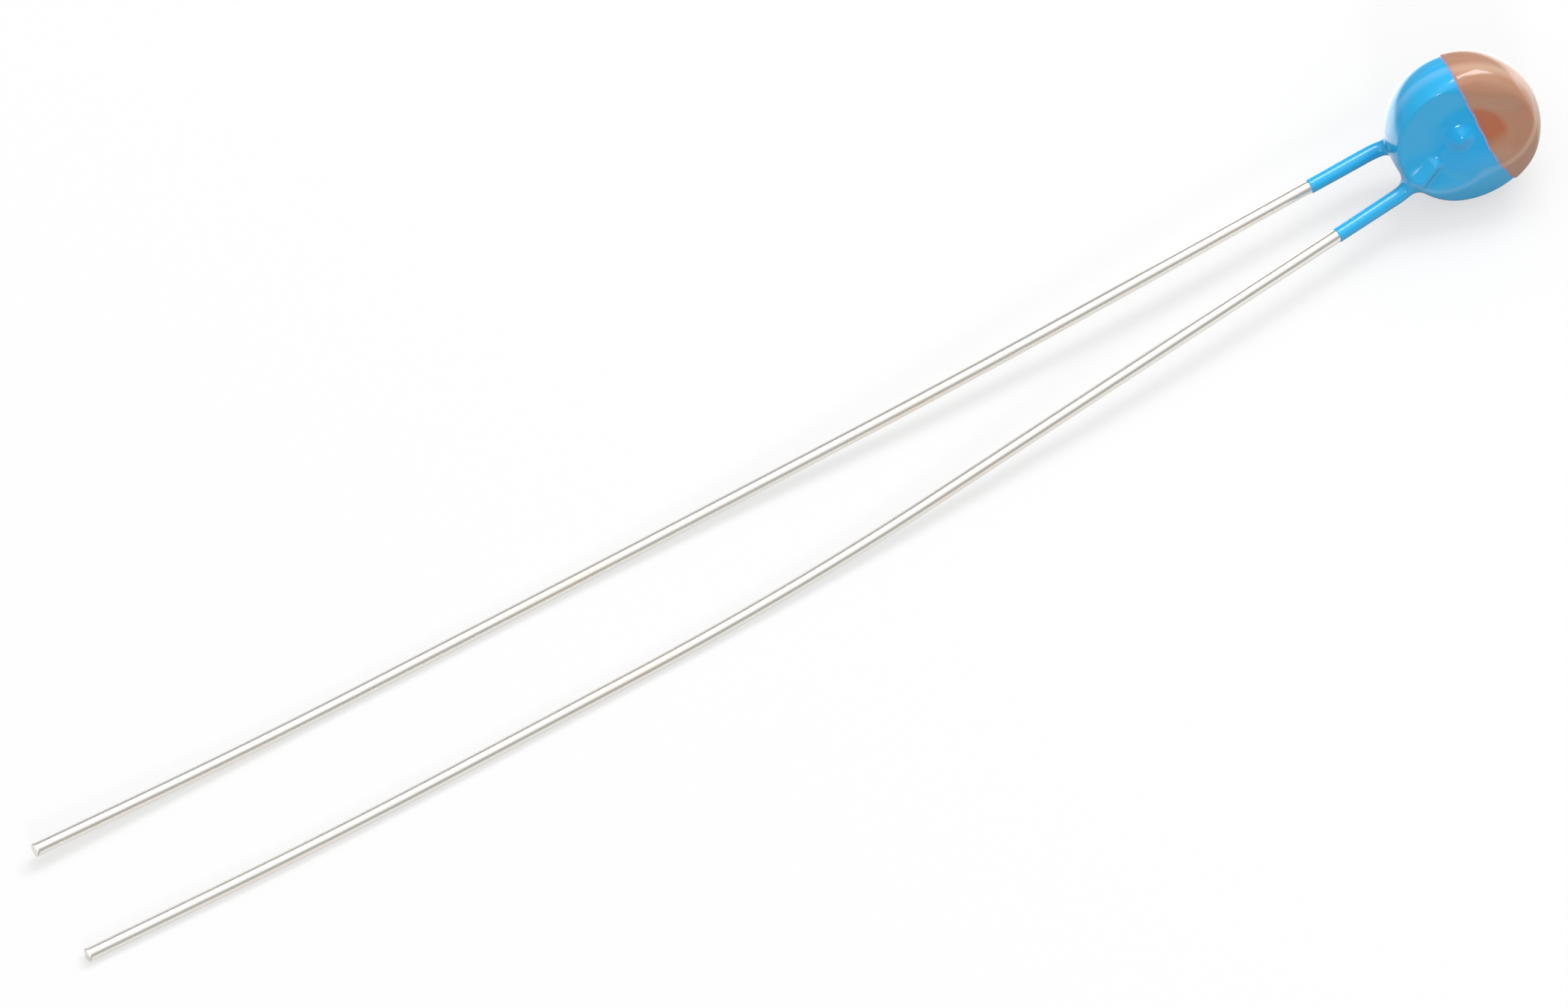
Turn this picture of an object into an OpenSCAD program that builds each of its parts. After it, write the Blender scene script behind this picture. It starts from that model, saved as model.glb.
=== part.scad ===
// PTC thermistor: a small ceramic disc with a wire lead soldered across each
// face, dipped in lacquer that also runs a little way down both leads. A second
// lacquer is dipped over the end away from the leads. The part lies as it comes
// to rest, on its rim and on the far stretches of its leads, which run to -X.
// Sizes are in millimetres, angles in degrees.

/* [Ceramic disc] */
// Diameter of the bare ceramic disc
disc_d = 3.7; // [3:0.1:5]
// Thickness of the bare ceramic disc
disc_t = 0.8; // [0.6:0.05:1.5]
// Chamfer round both edges of the ceramic
disc_chamfer = 0.06; // [0.02:0.02:0.12]

/* [Electrodes and solder] */
// Bare ceramic left round each electrode
electrode_margin = 0.2; // [0.1:0.05:0.4]
// Thickness of each electrode
electrode_t = 0.03; // [0.02:0.01:0.06]
// Solder left under each wire
solder_film = 0.05; // [0.01:0.01:0.1]
// Diameter of the solder mound on each face
solder_d = 1.8; // [1.2:0.1:2.2]
// Height of the solder mound above its electrode
solder_h = 0.28; // [0.2:0.01:0.35]

/* [Lead wire] */
// Diameter of both lead wires
wire_d = 0.38; // [0.3:0.01:0.45]
// Length of wire past the middle of each face
wire_tail = 0.4; // [0.2:0.1:0.7]

/* [Coating] */
// Coating over the ceramic at the corner of the rim
coat_corner = 0.125; // [0.08:0.005:0.2]
// How far the rim swells past that corner
rim_swell = 0.17; // [0.1:0.01:0.25]
// Coating over each face of the ceramic, at the corner
coat_face = 0.37; // [0.34:0.01:0.45]
// How far each coated face swells in its middle
face_swell = 0.03; // [0.02:0.01:0.08]
// Coating over the top of a wire that crosses a face
coat_over_wire = 0.03; // [0.02:0.01:0.06]
// How far the mound in the middle of each face stands out
mound_h = 0.1; // [0.08:0.01:0.16]
// How far the mound reaches past the solder under it
mound_margin = 0.2; // [0.1:0.05:0.3]

/* [Coated leads] */
// Coating on the leads next to the disc
sleeve_t = 0.035; // [0.035:0.005:0.06]
// Coating on the leads where it ends
sleeve_end_t = 0.02; // [0.015:0.005:0.04]
// Coated length of the front lead past its bend at the rim
front_sleeve = 2.4; // [1.5:0.1:4]
// Coated length of the back lead past its bend at the rim
back_sleeve = 2.25; // [1.5:0.05:4]
// Radius of the flare where each lead leaves the rim
root_flare = 0.22; // [0.1:0.02:0.3]

/* [End coat] */
// Thickness of the second lacquer
cap_t = 0.045; // [0.03:0.005:0.08]
// Distance of its edge from the middle of the disc
cap_line = 0.5; // [0.2:0.05:1]
// How far its edge tips towards the leads on the back
cap_tip = 6; // [0:1:10]

/* [Front lead] */
// Angle of the front wire across its face, away from the lead direction
front_fan = 26.5; // [10:0.5:35]
// Distance at which the front wire passes the middle of its face
front_offset = 0.47; // [0:0.01:0.6]
// Distance past the rim at which the front wire bends
front_bend_gap = 0.15; // [0.1:0.05:0.5]
// Level stretch of the front lead before it dips
front_level = 7.6; // [5:0.1:12]
// Sloping stretch of the front lead, seen from above
front_slope = 13.3; // [8:0.1:18]
// Straight stretch of the front lead after the slope
front_rest = 14.5; // [10:0.1:20]
// End stretch of the front lead
front_end = 7.8; // [6:0.1:10]
// Heading of the level stretch, towards -Y
front_level_heading = 5.5; // [2:0.1:8]
// Heading of the sloping stretch, towards -Y
front_slope_heading = 3.6; // [2:0.1:8]
// Heading of the end stretch, towards +Y
front_end_heading = 2.3; // [1:0.1:6]

/* [Back lead] */
// Angle of the back wire across its face, away from the lead direction
back_fan = 14; // [10:0.5:35]
// Distance at which the back wire passes the middle of its face
back_offset = 0.45; // [0:0.01:0.6]
// Distance past the rim at which the back wire bends
back_bend_gap = 0.28; // [0.1:0.02:0.5]
// Level stretch of the back lead before it dips
back_level = 6.9; // [5:0.1:12]
// First part of its slope, seen from above
back_slope_1 = 6.7; // [5:0.1:10]
// Second part of its slope, seen from above
back_slope_2 = 10.4; // [6:0.1:14]
// Straight stretch of the back lead after the slope
back_rest = 11.8; // [8:0.1:20]
// End stretch of the back lead, which rises off the table
back_end = 7; // [4:0.1:9]
// Heading of the level stretch, towards -Y
back_level_heading = 1.2; // [0:0.1:3]
// Heading of the first part of the slope, towards +Y
back_heading_1 = 0.8; // [0:0.1:3]
// Heading of the second part of the slope, towards +Y
back_heading_2 = 2; // [0:0.1:6]
// Heading of the straight stretch, towards +Y
back_rest_heading = 0.7; // [0:0.1:2]
// Heading of the end stretch, towards +Y
back_end_heading = 1.5; // [0:0.1:4]
// How far the tip of the back lead rises off the table
back_tip_rise = 0.3; // [0.2:0.05:0.8]

/* [Bends] */
// Longest reach of a gentle bend on either side of its corner
gentle_reach = 5; // [1.5:0.1:6]
// Length of the bend at the rim on either side of its corner
root_reach = 0.13; // [0.08:0.01:0.16]

/* [Rest position] */
// How far the disc leans back from upright
lean = 23.3; // [5:0.1:24]
// How far the disc is turned in its own plane, which lifts the end coat
roll = 19.4; // [0:0.1:30]
// How far the disc faces away from square to its leads
yaw = 17.5; // [0:0.5:30]

/* [Hidden] */

FINE = 96;           // facets of a full small circle
ROUND = 192;         // facets of a full circle as large as the disc
SWEEP = 1440;        // facets of a full turn of a gentle bend
BIG = 1440;          // facets of a circle of large radius
HAIR = 0.002;        // how much thicker a bend is than the straights beside it
LAP = 0.03;          // how far those straights run into the bend
SHARE = 0.48;        // most of a straight that one gentle bend takes up

wire_r = wire_d / 2;
half_t = disc_t / 2;
electrode_face = half_t + electrode_t;
wire_level = electrode_face + solder_film + wire_r;

corner_r = disc_d / 2 + coat_corner;
corner_z = half_t + coat_face;
rim_r = corner_r + rim_swell;
rim_arc_r = (corner_z * corner_z + rim_swell * rim_swell) / (2 * rim_swell);
rim_arc_x = rim_r - rim_arc_r;
face_arc_r = (corner_r * corner_r + face_swell * face_swell) / (2 * face_swell);
mound_r = solder_d / 2 + mound_margin;
mound_top = corner_z + face_swell + mound_h;
ridge_r = wire_r + coat_over_wire;

// ---- vectors and turns ----

function unit(v) = v / norm(v);
function turn_x(a) = [[1, 0, 0], [0, cos(a), -sin(a)], [0, sin(a), cos(a)]];
function turn_z(a) = [[cos(a), -sin(a), 0], [sin(a), cos(a), 0], [0, 0, 1]];
function angle_between(u, v) = acos(max(-1, min(1, unit(u) * unit(v))));

// A matrix for multmatrix from three axes and a place
function placement(x, y, z, at) = [[x[0], y[0], z[0], at[0]],
                                   [x[1], y[1], z[1], at[1]],
                                   [x[2], y[2], z[2], at[2]],
                                   [0, 0, 0, 1]];

// ---- how the part rests ----
// In the disc's own frame +Z is the front face and +X is the end away from the
// leads. The turned disc stands on its swollen rim.

rest_turn = turn_z(-yaw) * turn_x(90 - lean) * turn_z(roll);
disc_height = rim_arc_x * cos(lean) + rim_arc_r;
function disc_point(p) = rest_turn * p + [0, 0, disc_height];

// ---- the corners of the two leads ----
// side is 1 on the front face and -1 on the back.

function fan_direction(side, fan) = [-cos(fan), -side * sin(fan), 0];
function fan_foot(side, fan, offset) = [-sin(fan) * offset, side * cos(fan) * offset,
                                        side * wire_level];
function bend_run(gap, offset) = sqrt(pow(rim_r + gap, 2) - pow(offset, 2));
function tail_point(side, fan, offset) =
    fan_foot(side, fan, offset) - wire_tail * fan_direction(side, fan);
function root_point(side, fan, offset, gap) =
    fan_foot(side, fan, offset) + bend_run(gap, offset) * fan_direction(side, fan);

// A step of a lead, seen from above along a heading turned towards -Y, and up
function step(length, heading, rise) = [-length * cos(heading), -length * sin(heading), rise];

front_tail = disc_point(tail_point(1, front_fan, front_offset));
front_root = disc_point(root_point(1, front_fan, front_offset, front_bend_gap));
front_dip = front_root + step(front_level, front_level_heading, 0);
front_seat = front_dip + step(front_slope, front_slope_heading, wire_r - front_root[2]);
front_turn = front_seat + step(front_rest, 0, 0);
front_tip = front_turn + step(front_end, -front_end_heading, 0);
front_path = [front_tail, front_root, front_dip, front_seat, front_turn, front_tip];

back_tail = disc_point(tail_point(-1, back_fan, back_offset));
back_root = disc_point(root_point(-1, back_fan, back_offset, back_bend_gap));
back_drop = wire_r - back_root[2];
back_drop_share = back_slope_1 / (back_slope_1 + back_slope_2);
back_dip = back_root + step(back_level, back_level_heading, 0);
back_turn = back_dip + step(back_slope_1, -back_heading_1, back_drop * back_drop_share);
back_seat = back_turn + step(back_slope_2, -back_heading_2, back_drop * (1 - back_drop_share));
back_rise = back_seat + step(back_rest, -back_rest_heading, 0);
back_tip = back_rise + step(back_end, -back_end_heading, back_tip_rise);
back_path = [back_tail, back_root, back_dip, back_turn, back_seat, back_rise, back_tip];

// The origin is the middle of the underside of the part's box
box_near = disc_point([0, 0, 0])[0] + rim_arc_x * sqrt(1 - pow(rest_turn[0][2], 2))
    + rim_arc_r + cap_t;
box_far = min(front_tip[0], back_tip[0]);
box_left = back_tip[1] + wire_r;
box_right = front_turn[1] - wire_r;
shift = [-(box_near + box_far) / 2, -(box_left + box_right) / 2, 0];

// ---- wires ----

// Reach of the bend at corner i: short at the root, gentle further out, and
// never past the middle of the straights beside it
function straight(path, i) = norm(path[i] - path[i - 1]);
function reach(path, i) = i == 1 ? root_reach
    : min(gentle_reach, SHARE * straight(path, i), SHARE * straight(path, i + 1));
function bend_start(path, i) = path[i] - reach(path, i) * unit(path[i] - path[i - 1]);
function bend_end(path, i) = path[i] + reach(path, i) * unit(path[i + 1] - path[i]);

// A round bar from one point to another, which may taper
module bar(a, b, r1, r2) {
    d = b - a;
    translate(a)
        rotate([0, angle_between(d, [0, 0, 1]), atan2(d[1], d[0])])
            cylinder(h = norm(d), r1 = r1, r2 = r2, $fn = FINE);
}

// The bend of a round bar at corner i of its path, a hair thicker than the bar
module bend(path, i, r) {
    u = unit(path[i] - path[i - 1]);
    v = unit(path[i + 1] - path[i]);
    turn = angle_between(u, v);
    inward = unit(v - u * (u * v));
    bend_r = reach(path, i) / tan(turn / 2);
    multmatrix(placement(-inward, u, cross(-inward, u), bend_start(path, i) + inward * bend_r))
        rotate_extrude(angle = turn, $fn = SWEEP)
            translate([bend_r, 0])
                circle(r = r + HAIR, $fn = FINE);
}

// A whole wire through the corners of its path. Each straight laps into the
// bends beside it.
module wire(path) {
    last = len(path) - 1;
    for (i = [1 : last]) {
        lap = LAP * unit(path[i] - path[i - 1]);
        start = i == 1 ? path[0] : bend_end(path, i - 1) - lap;
        stop = i == last ? path[last] : bend_start(path, i) + lap;
        bar(start, stop, wire_r, wire_r);
        if (i < last)
            bend(path, i, wire_r);
    }
}

// The stretch of wire inside the coating: across the face, round the bend and
// along the first straight
module coated_wire(path, length) {
    across = unit(path[1] - path[0]);
    out = unit(path[2] - path[1]);
    bar(path[0], bend_start(path, 1) + LAP * across, wire_r, wire_r);
    bend(path, 1, wire_r);
    bar(bend_end(path, 1) - LAP * out, path[1] + out * (length + wire_d), wire_r, wire_r);
}

// ---- solids in the disc's own frame ----

module at_disc() {
    multmatrix(placement([rest_turn[0][0], rest_turn[1][0], rest_turn[2][0]],
                         [rest_turn[0][1], rest_turn[1][1], rest_turn[2][1]],
                         [rest_turn[0][2], rest_turn[1][2], rest_turn[2][2]],
                         [0, 0, disc_height]))
        children();
}

module ceramic_solid() {
    rotate_extrude($fn = FINE)
        polygon([[0, -half_t], [disc_d / 2 - disc_chamfer, -half_t],
                 [disc_d / 2, disc_chamfer - half_t], [disc_d / 2, half_t - disc_chamfer],
                 [disc_d / 2 - disc_chamfer, half_t], [0, half_t]]);
}

module electrode_solid(side) {
    level = side > 0 ? half_t : -electrode_face;
    translate([0, 0, level])
        cylinder(h = electrode_t, r = disc_d / 2 - electrode_margin, $fn = FINE);
}

// A low dome of solder, cut from a sphere, over the middle of an electrode
module solder_dome(side) {
    base_r = solder_d / 2;
    ball_r = (base_r * base_r + solder_h * solder_h) / (2 * solder_h);
    rotate([side > 0 ? 0 : 180, 0, 0])
        translate([0, 0, electrode_face])
            rotate_extrude($fn = FINE)
                intersection() {
                    translate([0, solder_h - ball_r])
                        circle(r = ball_r, $fn = ROUND);
                    square([base_r, solder_h]);
                }
}

// Half outline of the coated disc: a swollen rim between two slightly domed
// faces, thickened all over by extra
module coat_outline(extra) {
    intersection() {
        translate([rim_arc_x, 0])
            circle(r = rim_arc_r + extra, $fn = ROUND);
        translate([0, corner_z + face_swell - face_arc_r])
            circle(r = face_arc_r + extra, $fn = BIG);
        translate([0, face_arc_r - corner_z - face_swell])
            circle(r = face_arc_r + extra, $fn = BIG);
        translate([0, -corner_z * 2])
            square([rim_r * 2, corner_z * 4]);
    }
}

// The mound that the solder makes in the middle of each coated face
module face_mounds(extra) {
    ball_r = (mound_r * mound_r + mound_h * mound_h) / (2 * mound_h);
    rotate_extrude($fn = FINE)
        intersection() {
            translate([0, mound_top - ball_r])
                circle(r = ball_r + extra, $fn = ROUND);
            translate([0, ball_r - mound_top])
                circle(r = ball_r + extra, $fn = ROUND);
            translate([0, -mound_top * 2])
                square([rim_r, mound_top * 4]);
        }
}

module coated_disc(extra) {
    union() {
        rotate_extrude($fn = ROUND)
            coat_outline(extra);
        intersection() {
            face_mounds(extra);
            cylinder(h = mound_top * 4, r = corner_r - wire_d, center = true, $fn = FINE);
        }
    }
}

// The coating drawn up round a wire as it leaves the rim
module flare(side, fan, offset) {
    inner_r = wire_r + sleeve_t;
    foot_r = sqrt(pow(rim_arc_x + sqrt(pow(rim_arc_r, 2) - pow(wire_level, 2)), 2)
                  - pow(offset, 2));
    translate(fan_foot(side, fan, offset) + (foot_r - root_flare / 2) * fan_direction(side, fan))
        rotate([0, -90, side * fan])
            rotate_extrude($fn = FINE)
                difference() {
                    square([inner_r + root_flare, root_flare]);
                    translate([inner_r + root_flare, root_flare])
                        circle(r = root_flare, $fn = FINE);
                }
}

// ---- coated leads, in the part's frame ----

module sleeve(path, length) {
    across = unit(path[1] - path[0]);
    out = unit(path[2] - path[1]);
    stop = path[1] + out * length;
    bar(path[0] + wire_tail * across, bend_start(path, 1) + LAP * across, ridge_r, ridge_r);
    bend(path, 1, wire_r + sleeve_t);
    bar(bend_end(path, 1) - LAP * out, stop, wire_r + sleeve_t, wire_r + sleeve_end_t);
}

// ---- the sub-parts ----

module ceramic_disc() {
    color("dimgray")
        translate(shift)
            at_disc()
                ceramic_solid();
}

module front_electrode() {
    color("silver")
        translate(shift)
            at_disc()
                electrode_solid(1);
}

module back_electrode() {
    color("silver")
        translate(shift)
            at_disc()
                electrode_solid(-1);
}

module front_solder() {
    color("lightgray")
        translate(shift)
            difference() {
                at_disc()
                    solder_dome(1);
                coated_wire(front_path, front_sleeve);
            }
}

module back_solder() {
    color("lightgray")
        translate(shift)
            difference() {
                at_disc()
                    solder_dome(-1);
                coated_wire(back_path, back_sleeve);
            }
}

module front_lead() {
    color("gainsboro")
        translate(shift)
            wire(front_path);
}

module back_lead() {
    color("gainsboro")
        translate(shift)
            wire(back_path);
}

module blue_coating() {
    color("dodgerblue")
        translate(shift)
            difference() {
                union() {
                    at_disc() {
                        coated_disc(0);
                        flare(1, front_fan, front_offset);
                        flare(-1, back_fan, back_offset);
                    }
                    sleeve(front_path, front_sleeve);
                    sleeve(back_path, back_sleeve);
                }
                at_disc() {
                    ceramic_solid();
                    electrode_solid(1);
                    electrode_solid(-1);
                    solder_dome(1);
                    solder_dome(-1);
                }
                coated_wire(front_path, front_sleeve);
                coated_wire(back_path, back_sleeve);
            }
}

module brown_coating() {
    color("peru")
        translate(shift)
            at_disc()
                intersection() {
                    difference() {
                        coated_disc(cap_t);
                        coated_disc(0);
                    }
                    rotate([0, cap_tip, 0])
                        translate([cap_line, -rim_r * 2, -rim_r * 2])
                            cube([rim_r * 4, rim_r * 4, rim_r * 4]);
                }
}

ceramic_disc();
front_electrode();
back_electrode();
front_solder();
back_solder();
front_lead();
back_lead();
blue_coating();
brown_coating();
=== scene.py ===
"""A leaded PTC thermistor, dressed: lacquered disc, brown lacquer over its end, two tinned leads.

Lengths are in millimetres until a mesh, lamp or camera is made, which are in metres. The disc has
a frame of its own, with +Z out of the front face and +X towards the end away from the leads.
"""

import logging
from collections.abc import Callable
from dataclasses import dataclass, field
from enum import Enum
from typing import Any

import bpy
import numpy as np
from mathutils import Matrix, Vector


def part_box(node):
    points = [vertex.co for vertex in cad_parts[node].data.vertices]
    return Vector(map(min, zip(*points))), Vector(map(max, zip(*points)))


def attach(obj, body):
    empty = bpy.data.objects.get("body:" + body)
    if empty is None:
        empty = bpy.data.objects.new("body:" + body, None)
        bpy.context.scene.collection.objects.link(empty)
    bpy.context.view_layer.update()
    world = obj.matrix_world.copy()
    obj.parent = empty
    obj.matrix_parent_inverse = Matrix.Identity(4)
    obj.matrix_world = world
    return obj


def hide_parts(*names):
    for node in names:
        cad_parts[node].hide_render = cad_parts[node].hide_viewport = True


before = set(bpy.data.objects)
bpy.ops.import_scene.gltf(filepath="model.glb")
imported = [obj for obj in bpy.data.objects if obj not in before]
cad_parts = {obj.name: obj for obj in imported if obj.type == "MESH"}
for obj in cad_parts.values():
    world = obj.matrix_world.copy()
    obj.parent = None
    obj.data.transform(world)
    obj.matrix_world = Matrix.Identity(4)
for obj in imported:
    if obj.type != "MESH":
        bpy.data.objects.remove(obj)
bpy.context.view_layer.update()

Array = np.ndarray
Field = Callable[[Array], Array]
Pair = tuple[float, float]
Triple = tuple[float, float, float]
Colour = Triple

MM = 0.001
WHITE = (1.0, 1.0, 1.0)
NEWTON_STEPS = 4
LEAST_SLOPE = 1e-3
MIX_SHARE, MIX_FIRST, MIX_SECOND, MIX_COLOUR = 0, 6, 7, 2  # sockets of a colour Mix node
log = logging.getLogger("thermistor")


# -------- vectors and smooth joins


def unit(vector: Array) -> Array:
    """Vectors of length one along the last axis."""
    return vector / np.linalg.norm(vector, axis=-1, keepdims=True)


def turn(axis: int, degrees: float) -> Array:
    """Turning about one axis.

    Args:
        axis: 0, 1 or 2 for x, y or z.
        degrees: How far it turns.

    Returns:
        The matrix.
    """
    angle = np.radians(degrees)
    matrix = np.eye(3)
    u, v = (axis + 1) % 3, (axis + 2) % 3
    matrix[u, u] = matrix[v, v] = np.cos(angle)
    matrix[u, v], matrix[v, u] = -np.sin(angle), np.sin(angle)
    return matrix


def direction(azimuth: float, elevation: float) -> Array:
    """Unit vector to a place in the room: (sin az cos el, -cos az cos el, sin el), in degrees."""
    az, el = np.radians([azimuth, elevation])
    return np.array([np.sin(az) * np.cos(el), -np.cos(az) * np.cos(el), np.sin(el)])


def gone_along(line: Array) -> Array:
    """Length of the way to each point of a line."""
    return np.concatenate([[0.0], np.cumsum(np.linalg.norm(np.diff(line, axis=0), axis=1))])


def ease(value: Array) -> Array:
    """Smooth step from 0 to 1, t squared times (3 - 2 t), flat outside that range."""
    t = np.clip(value, 0.0, 1.0)
    return t * t * (3.0 - 2.0 * t)


def melt(a: Array, b: Array, reach: Any) -> Array:
    """Union of two distance fields whose meeting edge is filleted.

    Formula: the lesser of the two, less reach * h * (1 - h), where h runs from 0 to 1 as their
    difference runs from -reach to +reach.
    """
    h = np.clip(0.5 + 0.5 * (b - a) / reach, 0.0, 1.0)
    return b + (a - b) * h - reach * h * (1.0 - h)


def trim(a: Array, b: Array, reach: Any) -> Array:
    """Intersection of two distance fields whose meeting edge is rounded over by reach."""
    return -melt(-a, -b, reach)


def circle(points: Array, centre: Pair, radius: float) -> Array:
    """Distance to a circle from points of its plane."""
    return np.linalg.norm(points - np.array(centre), axis=-1) - radius


# -------- meshes


def slope_of(solid: Field, points: Array, probe: float = 1e-3) -> Array:
    """Gradient of a field at some points, by differences between a probe to either side."""
    steps = probe * np.eye(3)
    return np.stack([(solid(points + s) - solid(points - s)) / (2 * probe) for s in steps], axis=-1)


def skin(solid: Field, low: Array, high: Array, pitch: float) -> tuple[Array, Array]:
    """Closed skin of four-sided faces round the solid where a field is below zero.

    Formula: the field is worked out on a lattice. A cell that the surface enters gets one point,
    the mean of the places where the surface cuts its edges. A lattice edge that the surface cuts
    gets a face between the four cells round it. Newton steps, p - F grad F / |grad F|^2, then put
    every point on the surface itself.

    Args:
        solid: The field, negative inside.
        low: Lowest corner of the lattice.
        high: Highest corner of the lattice.
        pitch: Distance between its points.

    Returns:
        The points, and the four point numbers of each face, seen from outside.
    """
    counts = np.ceil((np.array(high) - low) / pitch).astype(int) + 1
    ticks = [start + pitch * np.arange(n) for start, n in zip(low, counts)]
    lattice = np.stack(np.meshgrid(*ticks, indexing="ij"), axis=-1)
    value = solid(lattice)
    total, hits = np.zeros((*(counts - 1), 3)), np.zeros(counts - 1)
    cuts = []
    for axis in range(3):
        u, v = (axis + 1) % 3, (axis + 2) % 3
        first = np.delete(value, -1, axis)
        second = np.delete(value, 0, axis)
        cut = (first < 0) != (second < 0)
        point = np.delete(lattice, -1, axis)
        point[..., axis] += pitch * np.where(cut, first / np.where(cut, first - second, 1.0), 0.0)
        for du, dv in np.ndindex(2, 2):
            window = [slice(None)] * 3
            window[u] = slice(du, du + counts[u] - 1)
            window[v] = slice(dv, dv + counts[v] - 1)
            near = cut[tuple(window)]
            total += np.where(near[..., None], point[tuple(window)], 0.0)
            hits += near
        cuts.append(np.stack([*np.nonzero(cut), (first < 0)[cut]], axis=-1))
    entered = hits > 0
    number = np.full(entered.shape, -1)
    number[entered] = np.arange(entered.sum())
    points = total[entered] / hits[entered][:, None]

    faces = []
    for axis, cut in enumerate(cuts):
        u, v = (axis + 1) % 3, (axis + 2) % 3
        corner = []
        for du, dv in ((-1, -1), (0, -1), (0, 0), (-1, 0)):
            cell = cut[:, :3].copy()
            cell[:, u] += du
            cell[:, v] += dv
            corner.append(number[tuple(cell.T)])
        quads = np.stack(corner, axis=-1)
        faces.append(np.where(cut[:, 3:] == 1, quads, quads[:, ::-1]))

    for _ in range(NEWTON_STEPS):
        slope = slope_of(solid, points)
        square = np.maximum((slope**2).sum(-1, keepdims=True), LEAST_SLOPE)
        move = solid(points)[:, None] * slope / square
        points = points - np.clip(move, -pitch / 2, pitch / 2)
    return points, np.concatenate(faces)


def tube_faces(rings: int, sides: int) -> Array:
    """Faces of a tube whose points are numbered ring by ring.

    Args:
        rings: Number of rings.
        sides: Number of points in each.

    Returns:
        Four point numbers for each face.
    """
    ring, side = np.meshgrid(np.arange(rings - 1), np.arange(sides), indexing="ij")
    after = (side + 1) % sides
    here, there = ring * sides, (ring + 1) * sides
    quads = [here + side, here + after, there + after, there + side]
    return np.stack(quads, axis=-1).reshape(-1, 4)


def write_piece(
    name: str, points: Array, faces: Array, kept: dict[str, Array], material: bpy.types.Material
) -> bpy.types.Object:
    """Makes a mesh object at the origin.

    Args:
        name: Name of the piece.
        points: Its points in the part's frame, in millimetres.
        faces: Four point numbers for each face.
        kept: Vectors to keep on the points, by name.
        material: Its material.

    Returns:
        The object, shaded smooth.
    """
    mesh = bpy.data.meshes.new(name)
    mesh.from_pydata((points * MM).tolist(), [], faces.tolist())
    mesh.polygons.foreach_set("use_smooth", np.ones(len(mesh.polygons), dtype=bool))
    for key, vectors in kept.items():
        layer = mesh.attributes.new(key, "FLOAT_VECTOR", "POINT")
        layer.data.foreach_set("vector", np.ascontiguousarray(vectors, dtype=np.float32).ravel())
    mesh.materials.append(material)
    mesh.update()
    piece = bpy.data.objects.new(name, mesh)
    bpy.context.scene.collection.objects.link(piece)
    return piece


def hang(data: bpy.types.ID, place: Array, back: Array) -> bpy.types.Object:
    """Puts a camera or a lamp in the scene under its data's name.

    Args:
        data: The camera or lamp.
        place: Where it is, in metres.
        back: Unit vector towards it from what it points at.

    Returns:
        The object.
    """
    thing = bpy.data.objects.new(data.name, data)
    thing.location = place
    thing.rotation_mode = "QUATERNION"
    thing.rotation_quaternion = (-Vector(back)).to_track_quat("-Z", "Y")
    bpy.context.scene.collection.objects.link(thing)
    return thing


# -------- shader nodes


class Socket:
    """The output of a node. Arithmetic on it adds Math nodes."""

    def __init__(self, shader: "Shader", output: bpy.types.NodeSocket | None) -> None:
        """Keeps the output and the shader that it belongs to."""
        self.shader = shader
        self.output = output

    def _with(self, operation: str, *values: Any) -> "Socket":
        """A Math node on the values."""
        return self.shader.node("ShaderNodeMath", {"operation": operation}, dict(enumerate(values)))

    def __add__(self, other: Any) -> "Socket":
        """Sum."""
        return self._with("ADD", self, other)

    def __sub__(self, other: Any) -> "Socket":
        """Difference."""
        return self._with("SUBTRACT", self, other)

    def __rsub__(self, other: Any) -> "Socket":
        """Difference, this one taken away."""
        return self._with("SUBTRACT", other, self)

    def __mul__(self, other: Any) -> "Socket":
        """Product."""
        return self._with("MULTIPLY", self, other)

    __radd__ = __add__
    __rmul__ = __mul__

    def step(self, low: float, high: float) -> "Socket":
        """Smooth step from 0 at low to 1 at high."""
        settings = {"interpolation_type": "SMOOTHSTEP"}
        return self.shader.node("ShaderNodeMapRange", settings, {0: self, 1: low, 2: high})

    def about(self, middle: float, spread: float) -> "Socket":
        """A value of 0 to 1 as one that runs over a spread about a middle."""
        return self * spread + (middle - spread / 2)


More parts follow.
